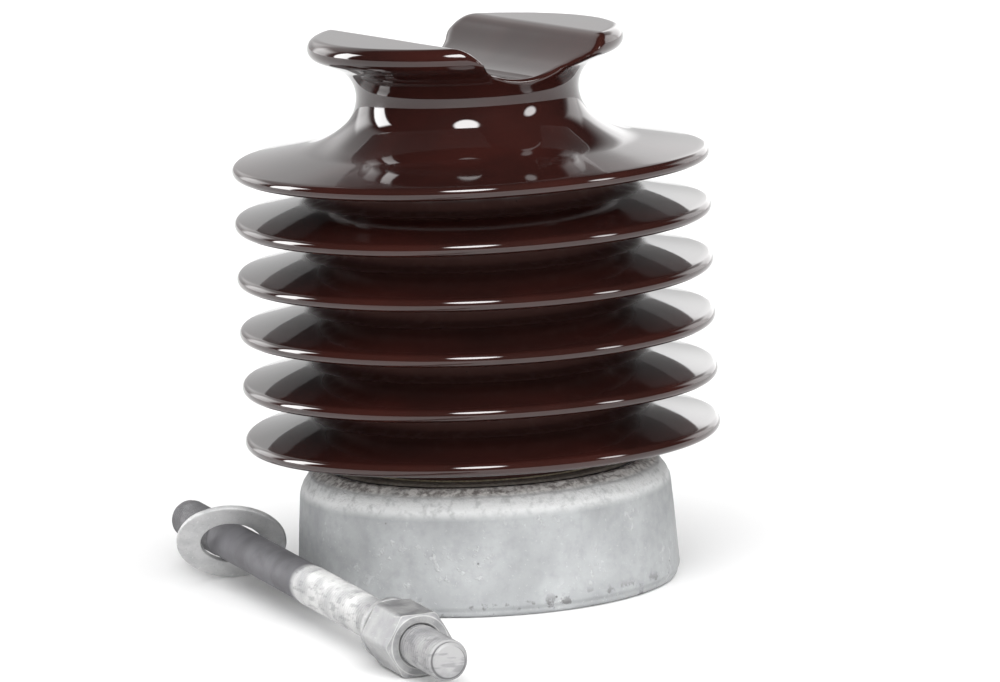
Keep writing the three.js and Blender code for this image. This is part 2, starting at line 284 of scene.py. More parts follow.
def galvanised_casting():
    """Hot-dip zinc on a casting: pale grey with faint clouds, spatter and small pits, dirt at the
    foot, a shoulder painted brighter as painted light, and a rough speckled ring above it, round the joint,
    painted paler as painted light against the sheds' shade."""
    s = Shader("galvanised_casting")
    clouds = s.noise(26, 4, 0.5, distortion=0.3)
    fine = s.noise(4.5, 5, 0.62)
    grain = s.noise(1.3, 4, 0.65)
    zinc = s.mix(s.step(clouds, 0.3, 0.7), linear(150, 152, 153), linear(168, 170, 171))
    zinc = s.mix(s.step(fine, 0.42, 0.7, 0.0, 0.28), zinc, linear(132, 133, 136))
    zinc = s.mix(s.step(grain, 0.60, 0.78, 0.0, 0.30), zinc, linear(226, 227, 228))
    spatter = s.math("MULTIPLY", s.step(s.noise(24, 3), 0.52, 0.62), s.step(s.noise(2.8, 3, 0.5), 0.56, 0.68))
    zinc = s.mix(s.math("MULTIPLY", spatter, 0.2), zinc, linear(226, 226, 226))
    pits, _ = s.cells(9)
    pitted = s.math("MULTIPLY", s.step(pits, 0.03, 0.08, 1.0, 0.0), s.step(s.noise(30, 2), 0.48, 0.56))
    zinc = s.mix(pitted, zinc, linear(112, 111, 111))
    marks = s.math("MULTIPLY", s.attribute("foot"), s.step(s.noise(7, 4, 0.6), 0.56, 0.64))
    zinc = s.mix(s.math("MULTIPLY", marks, 0.7), zinc, linear(86, 84, 84))
    # The rough speckled ring round the joint: its speckling is painted paler than the zinc. This is painted
    # light, standing in for the light the sheds keep off.
    rough_ring_painted_light = s.attribute("rim")
    speckle_painted_lighter = s.mix(s.step(s.noise(2.6, 5, 0.62), 0.36, 0.60), linear(150, 145, 142), linear(232, 230, 227))
    zinc = s.mix(s.math("MULTIPLY", rough_ring_painted_light, s.step(s.noise(9, 4, 0.6), 0.25, 0.5, 0.55, 1.0)), zinc, speckle_painted_lighter)
    # Painted light: the upturned shoulder is painted brighter in mottled patches, a bright band where light
    # falls on it.
    wear_and_painted_light = s.math("MULTIPLY", s.attribute("shoulder"), s.step(s.noise(3.5, 4, 0.6), 0.3, 0.55, 0.45, 1.0))
    zinc = s.mix(wear_and_painted_light, zinc, linear(212, 213, 213))
    rough = s.math("MAXIMUM", s.attribute("shoulder"), rough_ring_painted_light)
    normal = s.bump(grain, 0.06)
    height = s.math("ADD", s.math("MULTIPLY", rough, 3.0), 0.4)
    normal = s.bump(s.math("MULTIPLY", s.noise(1.8, 4, 0.7), height), 0.16, normal)
    normal = s.bump(spatter, 0.35, normal, 0.7)
    normal = s.bump(pitted, -0.25, normal, 0.6)
    s.set(Base_Color=zinc, Metallic=0.08, Roughness=s.step(clouds, 0.3, 0.7, 0.72, 0.6), Normal=normal)
    s.put(s.surface.inputs["Specular IOR Level"], 0.2)
    return s.material


def zinc_steel(name, dark, light, metallic=0.4, rough=(0.46, 0.62)):
    """Galvanised steel: faint mottling, scratches, dirt in the hollows and wear on the edges."""
    s = Shader(name)
    clouds = s.noise(8, 4, 0.55, distortion=0.3)
    grain = s.noise(1.2, 4, 0.6)
    colour = s.mix(s.step(clouds, 0.3, 0.7), linear(*dark), linear(*light))
    colour = s.mix(s.step(grain, 0.55, 0.75, 0.0, 0.35), colour, linear(118, 118, 120))
    scratch = s.noise(0.8, 3, 0.5, s.stretched(1, 0.05, 0.6))
    colour = s.mix(s.step(scratch, 0.62, 0.72, 0.0, 0.3), colour, linear(226, 226, 224))
    wear = s.attribute("wear")
    colour = s.mix(s.step(wear, 0.0, 0.45, 0.7, 0.0), colour, linear(48, 47, 48))
    colour = s.mix(s.step(wear, 0.75, 1.0, 0.0, 0.5), colour, linear(222, 222, 220))
    normal = s.bump(s.noise(0.7, 4, 0.65), 0.05)
    normal = s.bump(clouds, 0.08, normal)
    s.set(Base_Color=colour, Metallic=metallic, Roughness=s.step(clouds, 0.3, 0.7, *rough), Normal=normal)
    return s.material


def stud_steel():
    """The stud: a dull dark shank, and threads that still carry their zinc, rough at the short end."""
    s = Shader("stud_steel")
    clouds = s.noise(11, 4, 0.5, distortion=0.3)
    fine = s.noise(1.1, 4, 0.6)
    shank = s.mix(s.step(clouds, 0.3, 0.7), linear(82, 81, 84), linear(100, 99, 103))
    zinc = s.mix(s.step(clouds, 0.35, 0.65), linear(170, 170, 171), linear(206, 206, 205))
    marks = s.noise(1.7, 2, 0.5, s.stretched(0.22, 0.22, 1))
    zinc = s.mix(s.step(marks, 0.52, 0.66, 0.0, 0.5), zinc, linear(132, 132, 134))
    bright = s.attribute("bright")
    colour = s.mix(bright, shank, zinc)
    wear = s.attribute("wear")
    colour = s.mix(s.step(wear, 0.05, 0.5, 0.7, 0.0), colour, linear(70, 70, 72))
    colour = s.mix(s.step(fine, 0.6, 0.75, 0.0, 0.25), colour, linear(70, 69, 70))
    normal = s.bump(fine, 0.05)
    normal = s.bump(clouds, 0.08, normal)
    s.set(Base_Color=colour, Metallic=0.3, Roughness=s.step(bright, 0.0, 1.0, 0.66, 0.5), Normal=normal)
    return s.material


def gritty(name, dark, light, size, depth, rough=0.92):
    """A matt granular finish: cement, grit, cork or paint."""
    s = Shader(name)
    grains, tint = s.cells(size)
    tone = s.math("ADD", s.math("MULTIPLY", tint, 0.6), s.math("MULTIPLY", s.noise(size * 4), 0.4))
    colour = s.mix(tone, linear(*dark), linear(*light))
    normal = s.bump(grains, depth)
    normal = s.bump(s.noise(size * 0.4, 4), depth * 0.5, normal)
    s.set(Base_Color=colour, Roughness=rough, Normal=normal)
    return s.material


# ---- Porcelain body -----------------------------------------------------------------------------

SHED_COUNT = 6
SHED_PITCH = 21.75
TOP_SHED_Z = 170.3
RIM_R, RIM_HALF = 92.4, 2.6  # the middle of a shed's rounded rim, and the rim's radius
CORE_R, FILLET = 58.0, 4.0
UNDER_SLOPE, TOP_SLOPE, FLARE_SLOPE = 6.0, 13.0, 10.0
NECK_R, NECK_Z = 44.5, 198.0
GROOVE_UPPER, GROOVE_LOWER, FLARE = 13.0, 15.7, 40.0  # radii of the tie groove and the top shed's flare
FLARE_FROM, GROOVE_TO, EDGE_FROM = 230, 114, -66  # degrees, where these arcs meet what follows them
HEAD_R, HEAD_Z, HEAD_EDGE = 63.0, 222.0, 4.5
SADDLE_R = 38.0
SADDLE_DEPTH = 15.5
SADDLE_Z = HEAD_Z - SADDLE_DEPTH + SADDLE_R
SADDLE_ROUNDING = 3.2
FOOT_R, FOOT_Z, CORE_Z = 54.0, 27.0, 52.5
SHED_SIDES = 288
# The same reach sets where the glaze's colour is lifted paler as painted light.
DUST_AND_PAINTED_LIGHT_REACH, DUST_AND_PAINTED_LIGHT_FADE = 12.0, 6.0  # dust dulls the glaze this far out from the core, between the sheds


def shed_underside(rim_z, slope_after):
    """From a shed's lower root out to its rim and round it."""
    rise = (RIM_R - CORE_R - FILLET) * math.tan(math.radians(UNDER_SLOPE))
    root_z = rim_z - RIM_HALF + rise - FILLET
    return [*arc(CORE_R + FILLET, root_z, FILLET, 180, 90 - UNDER_SLOPE, 0.7),
            *arc(RIM_R, rim_z, RIM_HALF, -90 - UNDER_SLOPE, 90 - slope_after, 0.33)]


def lower_outline():
    """From the foot up over five sheds and the sixth's flare to the bottom of the tie groove."""
    points = rounded([(0, FOOT_Z, 0), (FOOT_R, FOOT_Z, 1.5), (FOOT_R, CORE_Z, 1.5),
                      (CORE_R - 0.5, CORE_Z, 1.2), (CORE_R, CORE_Z + 1, 0)])
    over = (RIM_R - CORE_R - FILLET) * math.tan(math.radians(TOP_SLOPE)) + FILLET
    for shed in range(SHED_COUNT - 1, 0, -1):
        rim_z = TOP_SHED_Z - shed * SHED_PITCH
        points += shed_underside(rim_z, TOP_SLOPE)
        points += arc(CORE_R + FILLET, rim_z + RIM_HALF + over, FILLET, 270 - TOP_SLOPE, 180, 0.7)
    points += shed_underside(TOP_SHED_Z, FLARE_SLOPE)
    bend = math.radians(FLARE_FROM)
    flare_r = NECK_R + GROOVE_LOWER - (FLARE - GROOVE_LOWER) * math.cos(bend)
    flare_z = NECK_Z - (FLARE - GROOVE_LOWER) * math.sin(bend)
    points += arc(flare_r, flare_z, FLARE, 270 - FLARE_SLOPE, FLARE_FROM, 1.2)
    points += arc(NECK_R + GROOVE_LOWER, NECK_Z, GROOVE_LOWER, FLARE_FROM, 180, 1.0)[1:]
    return dense(points, 2.2)


def upper_outline():
    """From the bottom of the tie groove up, out and round the head's rim to the middle of its top."""
    groove = arc(NECK_R + GROOVE_UPPER, NECK_Z, GROOVE_UPPER, 180, GROOVE_TO, 0.2)
    edge = arc(HEAD_R - HEAD_EDGE, HEAD_Z - HEAD_EDGE, HEAD_EDGE, EDGE_FROM, 90, 0.2)
    return np.array(dense([*groove, *edge, (0, HEAD_Z)], 0.2))


def along_path(points, count):
    """count points spaced evenly along a path, its ends included."""
    run = np.concatenate([[0], np.cumsum(np.linalg.norm(np.diff(points, axis=0), axis=1))])
    at = np.linspace(0, run[-1], count)
    return np.stack([np.interp(at, run, points[:, k]) for k in range(2)], 1)


def head_rows(columns, outside=64, inside=52):
    """The head's rows: for each column the outline as far as the saddle, then the saddle to the axis."""
    outline = upper_outline()
    grid = np.zeros((outside + inside - 1, columns, 3))
    for j, theta in enumerate(np.linspace(0, 2 * math.pi, columns, endpoint=False)):
        c, s = math.cos(theta), math.sin(theta)
        depth = SADDLE_R - np.hypot(outline[:, 0] * c, outline[:, 1] - SADDLE_Z)
        first = int(np.argmax(depth > 0))
        share = depth[first - 1] / (depth[first - 1] - depth[first])
        meet = outline[first - 1] + share * (outline[first] - outline[first - 1])
        shown = along_path(np.vstack([outline[:first], meet]), outside)
        r = np.linspace(meet[0], 0, 120)
        floor = SADDLE_Z - np.sqrt(np.maximum(SADDLE_R ** 2 - (r * c) ** 2, 0))
        cut = along_path(np.stack([r, floor], 1), inside)
        path = np.vstack([shown, cut[1:]])
        grid[:, j] = np.stack([path[:, 0] * c, path[:, 0] * s, path[:, 1]], 1)
    return grid, outline


def head_distance(points, outline):
    """Signed distance to the turned head less the saddle, with their meeting edge rounded off."""
    r = np.hypot(points[:, 0], points[:, 1])
    q = np.stack([r, points[:, 2]], 1)
    a, b = outline[:-1], outline[1:]
    ab = b - a
    nearest = np.full(len(q), 1e9)
    inside = np.zeros(len(q))
    for start, step in zip(a, ab):
        t = np.clip(((q - start) @ step) / (step @ step), 0, 1)
        gap = q - start - t[:, None] * step
        away = np.hypot(gap[:, 0], gap[:, 1])
        closer = away < nearest
        cross = step[0] * gap[:, 1] - step[1] * gap[:, 0]
        inside = np.where(closer, cross, inside)
        nearest = np.where(closer, away, nearest)
    turned = np.where(inside > 0, -nearest, nearest)
    channel = SADDLE_R - np.hypot(points[:, 0], points[:, 2] - SADDLE_Z)
    overlap = np.maximum(SADDLE_ROUNDING - np.abs(turned - channel), 0) / SADDLE_ROUNDING
    return np.maximum(turned, channel) + overlap ** 2 * SADDLE_ROUNDING / 4, overlap


def rounded_head(columns, nearby=12, tries=5, nudge=0.02):
    """The head's rows with the saddle's edges rounded, and how sharply each point bends. Points near
    the saddle are moved onto the rounded surface along its slope, in a few tries."""
    grid, outline = head_rows(columns)
    around = np.vstack([[(NECK_R, NECK_Z - 6)], outline[::3], [(0, HEAD_Z)]])
    flat = grid.reshape(-1, 3)
    edge = np.zeros(len(flat))
    channel = SADDLE_R - np.hypot(flat[:, 0], flat[:, 2] - SADDLE_Z)
    near = np.where(np.abs(channel) < nearby)[0]
    for _ in range(tries):
        points = flat[near]
        value, overlap = head_distance(points, around)
        ahead = [head_distance(points + step, around)[0] for step in np.eye(3) * nudge]
        slope = np.stack([there - value for there in ahead], 1) / nudge
        size = np.maximum((slope ** 2).sum(1), 0.2)
        flat[near] = points - slope * (value / size)[:, None]
    edge[near] = overlap
    return flat.reshape(grid.shape), edge.reshape(grid.shape[:2])


def porcelain():
    lower = np.array(lower_outline())
    head, edge = rounded_head(SHED_SIDES)
    grid = np.concatenate([revolved(lower, SHED_SIDES), head[1:]])
    theta = np.linspace(0, 2 * math.pi, SHED_SIDES, endpoint=False)
    z = grid[:, :, 2]
    r = np.hypot(grid[:, :, 0], grid[:, :, 1])
    reach = np.clip((r - CORE_R) / (RIM_R - CORE_R), 0, 1)
    # Drying and firing leave it a little out of round, and each shed a little warped.
    out = (0.16 * np.cos(2 * theta + 0.7 + z / 80) + 0.07 * np.cos(3 * theta + 2.1 - z / 31)
           + 0.05 * np.cos(5 * theta + z / 17))
    warp = 0.30 * np.cos(2 * theta + 1.3 + z / 23) + 0.12 * np.cos(3 * theta - z / 11)
    scale = 1 + np.where(r > 1, out / np.maximum(r, 1), 0) * np.clip(r / 40, 0, 1)
    grid[:, :, 0] *= scale
    grid[:, :, 1] *= scale
    grid[:, :, 2] += warp * reach ** 2
    # The glaze runs thin on the rims and on the saddle's edges.
    on_rim = (r > RIM_R) & (z < TOP_SHED_Z + 5)
    thin = np.where(on_rim, np.clip((r - RIM_R) / RIM_HALF, 0, 1) * 0.5, 0)
    thin[len(lower):] = np.maximum(thin[len(lower):], edge[1:] ** 2)
    # Between the sheds, dust dulls the glaze, and the glaze's colour is lifted paler as painted light.
    below_top_shed = np.clip((TOP_SHED_Z - 6 - z) / 3, 0, 1)
    deep = np.clip((CORE_R + DUST_AND_PAINTED_LIGHT_REACH - r) / DUST_AND_PAINTED_LIGHT_FADE, 0, 1) * below_top_shed
    return piece("glazed_porcelain", grid, AXIS, "insulator", ["porcelain_body"], glaze(),
                 values={"thin": thin, "deep": deep})


# ---- Base and cemented joint --------------------------------------------------------------------

BASE_SIDES = 240
PITCH = 2.0
TAPPED_R, TAPPED_DEPTH, TAPPED_CUT = 8.3, 19.0, 1.25
MOUTH_R, FLOOR_R, FLOOR_Z, MOUTH_Z = 63.6, 66.4, 24.0, 49.5  # the cup that holds the cement
SHOULDER_Z, RIM_Z, FOOT_TOP = 38.5, 46.3, 9.0


def thread(z, theta):
    """Height of a right-hand thread, 0 in its root and 1 on its crest."""
    phase = (z / PITCH - theta / (2 * math.pi)) % 1
    flank = 1 - np.abs(2 * phase - 1)
    t = np.clip((flank - 0.14) / 0.68, 0, 1)
    return t * t * (3 - 2 * t)


def base():
    hole = dense([(0, TAPPED_DEPTH), (TAPPED_R - 0.6, TAPPED_DEPTH)], 2.5)
    hole += dense([(TAPPED_R, TAPPED_DEPTH - 0.4), (TAPPED_R, 1.2)], 0.2)
    underside = [(TAPPED_R + 0.05, 1.1, 0), (TAPPED_R + 1.3, 0, 0.5), (74.4, 0, 0.8)]
    side = [(75.8, 1.2, 0.8), (75.8, 2.6, 0.6), (76.8, 4.0, 1.0), (74.15, 41, 6.5), (70.6, 46.4, 2.5)]
    cup = [(65.4, MOUTH_Z, 1.0), (MOUTH_R, MOUTH_Z, 0.6), (FLOOR_R, FLOOR_Z, 1.0), (0, FLOOR_Z, 0)]
    outline = hole + dense(rounded([*underside, *side, *cup], 7), 1.3)
    grid = revolved(outline, BASE_SIDES)
    r, z = np.array(outline)[:, :1], np.array(outline)[:, 1:]
    theta = np.linspace(0, 2 * math.pi, BASE_SIDES, endpoint=False)
    tapped = (np.abs(r - TAPPED_R) < 0.02) & (z > 1.15)
    cut = np.where(tapped, 1 - TAPPED_CUT * thread(z, theta + math.pi) / TAPPED_R, 1)
    grid[:, :, 0] *= cut
    grid[:, :, 1] *= cut
    outer = (r > 60) & (z > 0.3)
    rough = roughened(grid, 0.20, 0.05, 24, 3.2, 3.7)
    speckled = roughened(grid, 0.20, 0.24, 24, 2.2, 3.7)
    rough = np.where((z > SHOULDER_Z + 1)[:, :, None], speckled, rough)
    grid = np.where(outer[:, :, None], rough, grid)
    even = np.ones(BASE_SIDES)
    # These masks carry painted light into the casting's colour: a paler speckling on the ring under the
    # sheds, and a brighter band on the upturned shoulder.
    rim = np.clip((z - RIM_Z) / 1.2, 0, 1) * even
    shoulder = np.clip((z - SHOULDER_Z) / 3, 0, 1) * even - rim
    foot = np.clip((FOOT_TOP - z) / 5, 0, 1) * even
    return piece("galvanised_base", grid, AXIS, "insulator", ["base_cap"],
                 galvanised_casting(), values={"rim": rim, "shoulder": shoulder, "foot": foot})


def band(name, corners, node, material, coarse, fine, size):
    """A ring of the cemented joint. Only its top edge can be seen."""
    grid = revolved(dense(rounded([*corners, corners[0]], 4), 1.2)[:-1], BASE_SIDES)
    grid = roughened(grid, coarse, fine, size * 3, size, len(name))
    return piece(name, grid, AXIS, "insulator", [node], material, ring=True)


def joint_pieces():
    """The cement, bitumen and grit between porcelain and iron, and the cork that is closed in below."""
    cement = gritty("set_cement", (108, 103, 96), (158, 152, 142), 1.4, 0.25)
    bitumen = gritty("bitumen_paint", (16, 15, 17), (34, 32, 33), 2.2, 0.12, 0.5)
    sand = gritty("porcelain_grit", (112, 98, 78), (186, 174, 150), 1.0, 0.3)
    fill = [(56.1, 24.4, 0), (65.0, 24.4, 0.5), (62.1, 49.3, 0.6), (61.0, 50.2, 1.0), (56.1, 50.6, 0.6)]
    band("cement_fill", fill, "cement_ring", cement, 0.05, 0.06, 1.6)
    band("bitumen_line", [(65.25, 24.45, 0), (66.0, 24.45, 0), (63.25, 49.6, 0.3), (62.45, 49.7, 0.3)],
         "bitumen_coat", bitumen, 0.03, 0.03, 2.0)
    band("grit_line", [(54.4, 27.1, 0), (55.6, 27.1, 0), (55.6, 50.9, 0.3), (54.4, 50.9, 0.3)],
         "sand_band", sand, 0.03, 0.05, 0.8)
    cork = gritty("granulated_cork", (104, 66, 36), (196, 148, 96), 2.6, 0.3)
    disc = frame["nodes"]["cork_disc"]
    disc.data.materials.clear()
    disc.data.materials.append(cork)


# ---- Stud set -----------------------------------------------------------------------------------

STUD_R, ROOT_R, SHANK_R = 8.0, 6.85, 7.75
SHORT_THREAD, LONG_THREAD, RUN_OUT = 44.0, 146.0, 2.5
POINT = 2.0  # the bevel at each end of the stud
STUD_SIDES = 72
SHORT_END_ZINC, NEAR_END_ZINC = 0.22, 0.5  # how much bright zinc is left there, from 0 to 1
PLAIN_WEAR = 0.6  # neither dirty nor rubbed bright
NUT_HALF, NUT_FLAT = 13.5, 12.0
NUT_BORE_GAP = 0.3


def stud():
    end = STUD_R - POINT
    along_it = np.arange(0, STUD_LENGTH + 0.01, PITCH / 12)
    theta = np.linspace(0, 2 * math.pi, STUD_SIDES, endpoint=False)
    z = along_it[:, None]
    short = np.clip((SHORT_THREAD - z) / RUN_OUT, 0, 1)
    long = np.clip((z - (STUD_LENGTH - LONG_THREAD)) / RUN_OUT, 0, 1)
    threaded = np.maximum(short, long)
    height = thread(z, theta)
    radius = SHANK_R * (1 - threaded) + (ROOT_R + (STUD_R - ROOT_R) * height) * threaded
    shape = np.minimum(end + z, end + STUD_LENGTH - z)
    radius = np.minimum(radius, shape)
    body = np.stack([radius * np.cos(theta), radius * np.sin(theta), np.broadcast_to(z, radius.shape)], -1)
    rings = [0.0, 0.35, 0.7, 0.97]

    def end_ring(r, height_there):
        return np.stack([r * np.cos(theta), r * np.sin(theta), 0 * theta + height_there], -1)

    first = [end_ring(radius[0] * k, 0) for k in rings]
    last = [end_ring(radius[-1] * k, STUD_LENGTH) for k in reversed(rings)]
    grid = np.concatenate([np.array(first), body, np.array(last)])
    plain = np.full((len(rings), STUD_SIDES), PLAIN_WEAR)
    wear = np.concatenate([plain, threaded * height + (1 - threaded) * PLAIN_WEAR, plain])
    fade = np.clip((STUD_LENGTH - LONG_THREAD + 3 - z) / 6, 0, 1)
    bright = (1 - fade) + SHORT_END_ZINC * np.clip((SHORT_THREAD - z) / 3, 0, 1)
    bright = bright * np.interp(z, [NUT_AT - 45, NUT_AT - 12], [1, NEAR_END_ZINC])
    bright = np.broadcast_to(bright, radius.shape)
    bright = np.concatenate([plain * 0 + SHORT_END_ZINC, bright, plain * 0 + NEAR_END_ZINC])
    grid = roughened(grid, 0.03, 0.03, 6, 1.1, 8.1)
    return piece("threaded_stud", grid, LYING, "stud", ["stud"], stud_steel(),
                 values={"wear": wear, "bright": bright})


def hex_radius(theta, worn_off=0.35, sharp=0.25):
    """Distance from a nut's axis to its flats, with slightly rounded corners."""
    off = (theta % (math.pi / 3)) - math.pi / 6
    flat = NUT_FLAT / np.cos(off)
    corner = NUT_FLAT / math.cos(math.pi / 6) - worn_off
    blend = np.maximum(sharp - np.abs(flat - corner), 0) / sharp
    return np.minimum(flat, corner) - blend ** 2 * sharp / 4


def nut():
    """The hex nut: bevelled faces, a countersunk mouth at each end and the thread between them."""
    per_side = 26
    spread = np.linspace(-1, 1, per_side, endpoint=False)
    spread = np.sign(spread) * (1 - (1 - np.abs(spread)) ** 1.6)
    theta = np.concatenate([math.pi / 3 * (k + 0.5) + spread * math.pi / 6 for k in range(6)])
    low, high = NUT_AT - NUT_HALF, NUT_AT + NUT_HALF
    hexagon = hex_radius(theta)
    face_r = NUT_FLAT - 0.55
    bore = STUD_R + NUT_BORE_GAP
    fall = (hexagon - face_r) * 0.55
    rows, wear_and_painted_light = [], []

    def ring_at(r, z, wear=PLAIN_WEAR):
        rows.append(np.stack([r * np.cos(theta), r * np.sin(theta), z + 0 * theta], -1))
        wear_and_painted_light.append(wear + 0 * theta)

    def face(z, inward):
        """From the countersink out to the side, at the low end; the same backwards at the high end."""
        start = [(bore + 0.7, 0, 1.0), (bore + 0.95, 0, 0.7), (face_r - 1.2, 0, 0.6),
                 (face_r - 0.25, 0, 0.8), (face_r, 0.06, 1.0)]
        for r, dz, wear in start:
            ring_at(r, z + inward * dz, wear)
        for share, wear in ((0.06, 0.9), (0.5, 0.6), (0.94, 0.9), (1.0, 1.0)):
            ring_at(face_r + (hexagon - face_r) * share, z + inward * (0.06 + fall * share), wear)
        ring_at(hexagon, z + inward * (0.06 + fall + 0.3), 0.7)

    face(low, 1)
    for share in np.linspace(0.08, 0.92, 12):
        ring_at(hexagon, low + (high - low) * share)
    upper = len(rows)
    face(high, -1)
    rows[upper:] = rows[upper:][::-1]
    wear_and_painted_light[upper:] = wear_and_painted_light[upper:][::-1]
    for z in np.arange(high - 0.75, low + 0.74, -PITCH / 12):
        crest = thread(z, theta)
        ring_at(ROOT_R + NUT_BORE_GAP + (STUD_R - ROOT_R) * crest, z, 0.35)
    grid = roughened(np.array(rows), 0.05, 0.03, 7, 1.3, 5.5)
    steel = zinc_steel("nut_zinc", (132, 132, 134), (166, 166, 166))
    return piece("galvanised_nut", grid, LYING, "hex_nut", ["hex_nut"], steel, ring=True,
                 values={"wear": np.array(wear_and_painted_light)})


def spring():
    """The split spring washer: a square section swept once round, its cut ends sprung apart."""
    inner, width, thick, rise = 8.45, 3.8, 3.4, 1.6
    gap_to_nut, room = 0.3, 3.5
    start = NUT_AT - NUT_HALF - gap_to_nut - room - rise
    section = rounded([(inner, 1.0, 0), (inner, 0, 0.6), (inner + width, 0, 0.6), (inner + width, thick, 0.6),
                       (inner, thick, 0.6), (inner, 1.0, 0)], 4)[:-1]
    section = np.array(dense(section + [section[0]], 0.8)[:-1])
    turn = np.radians(np.linspace(7, 353, 150))
    sweep = np.stack([section[:, :1] * np.cos(turn), section[:, :1] * np.sin(turn),
                      section[:, 1:] + rise * turn / (2 * math.pi) + start], -1)
    middle = sweep.mean(0)
    grid = np.transpose(sweep, (1, 0, 2))
    ends = [middle[:1].repeat(len(section), 0), grid[0] * 0.7 + middle[0] * 0.3]
    closing = [grid[-1] * 0.7 + middle[-1] * 0.3, middle[-1:].repeat(len(section), 0)]
    grid = np.concatenate([np.array(ends), grid, np.array(closing)])
    steel = zinc_steel("spring_zinc", (140, 140, 142), (180, 180, 180))
    wear = np.full(grid.shape[:2], PLAIN_WEAR)
    return piece("split_washer", grid, LYING, "spring_washer", ["spring_washer"], steel,
                 values={"wear": wear})


def plate():
    """The flat washer, leaning on the stud, with the rolled edge that stamping leaves."""
    points = np.array([v.co for v in frame["nodes"]["flat_washer"].data.vertices])
    centre = points.mean(0)
    _, _, axes = np.linalg.svd(points - centre, full_matrices=False)
    normal = Vector(axes[2])
    if normal.dot(along) < 0:
        normal = -normal
    across = side - normal * side.dot(normal)
    across.normalize()
    place = Matrix((across, normal.cross(across), normal)).transposed().to_4x4()
    place.translation = Vector(centre)
    half, hole, outer = 1.0, 12.4, 22.2
    corners = [(hole, 0, 0), (hole, -half, 0.25), (outer - 0.1, -half, 0.3), (outer, -half + 0.5, 0.3),
               (outer, half, 0.7), (hole, half, 0.5), (hole, 0, 0)]
    grid = revolved(dense(rounded(corners, 6), 0.9)[:-1], 144)
    grid = roughened(grid, 0.07, 0.04, 9, 1.6, 2.2)
    steel = zinc_steel("washer_zinc", (172, 172, 173), (192, 192, 192), 0.3)
    wear = np.full(grid.shape[:2], PLAIN_WEAR)
    return piece("leaning_washer", grid, place, "flat_washer", ["flat_washer"], steel, ring=True,
                 values={"wear": wear})


# ---- Camera, light and floor --------------------------------------------------------------------

TURN = math.radians(30.5)  # the camera stands this far round from the saddle's direction
CAMERA_PLACE = (0.0, -2.584, 0.5278)  # from the foot of the insulator's axis, before that turn
YAW, PITCH_DOWN, ROLL = (math.radians(a) for a in (0.1886, 9.473, 2.6))
LENS, SENSOR = 235.95, 36


def turned_about(v):
    """A direction or place seen from the saddle's direction, turned to the camera's side."""
    c, s = math.cos(TURN), math.sin(TURN)
    return Vector((c * v[0] + s * v[1], -s * v[0] + c * v[1], v[2]))


def camera():
    level = math.cos(PITCH_DOWN)
    ahead = Vector((math.sin(YAW) * level, math.cos(YAW) * level, -math.sin(PITCH_DOWN)))
    right = ahead.cross(Vector((0, 0, 1))).normalized()
    up = right.cross(ahead)
    c, s = math.cos(ROLL), math.sin(ROLL)
    right, up = c * right - s * up, s * right + c * up
    data = bpy.data.cameras.new("camera")
    data.lens, data.sensor_width = LENS, SENSOR
    data.clip_start, data.clip_end = 0.05, 200
    made = bpy.data.objects.new("camera", data)
    axes = [turned_about(v) for v in (right, up, -ahead)]
    made.matrix_world = Matrix(axes).transposed().to_4x4()
    made.matrix_world.translation = AXIS.translation + turned_about(CAMERA_PLACE)
    bpy.context.scene.collection.objects.link(made)
    bpy.context.scene.camera = made


def direction(azimuth, elevation):
    """A direction from the object: azimuth 0 towards the camera's side, positive to its right."""
    a, e = math.radians(azimuth), math.radians(elevation)
    return turned_about((math.sin(a) * math.cos(e), -math.cos(a) * math.cos(e), math.sin(e)))


BACKDROP, ROOM = 0.80, 0.022  # what the gloss mirrors behind the object and in front of it
AMBIENT_LOW, AMBIENT_HIGH = 0.34, 1.26  # soft light from below and from above
LIT_FROM, LIT_HEIGHT, LIT_LEAST, LIT_MOST = 8, 20, 0.18, 1.38  # the room is brighter on this side
# azimuth, elevation, half width, half height, radiance, softness, round
GLOSS_PANELS = [
    (-104, 17, 8, 17, 13.0, 0.15, False),
    (-3, 50, 10, 15, 16.0, 0.18, True),
    (67, 20, 6, 11, 10.0, 0.30, True),
    (161, 8, 13, 11, 1.6, 0.25, False),
    (-134, 8, 12, 18, 2.2, 0.35, False),
    (134, 10, 12, 18, 1.2, 0.35, False),
    (-147, 29, 20, 17, 0.75, 0.35, False),
]
SOFT_PANELS = [
    (14, 54, 38, 30, 1.5, 0.4, False),
    (6, 21, 28, 17, 2.5, 0.4, False),
]


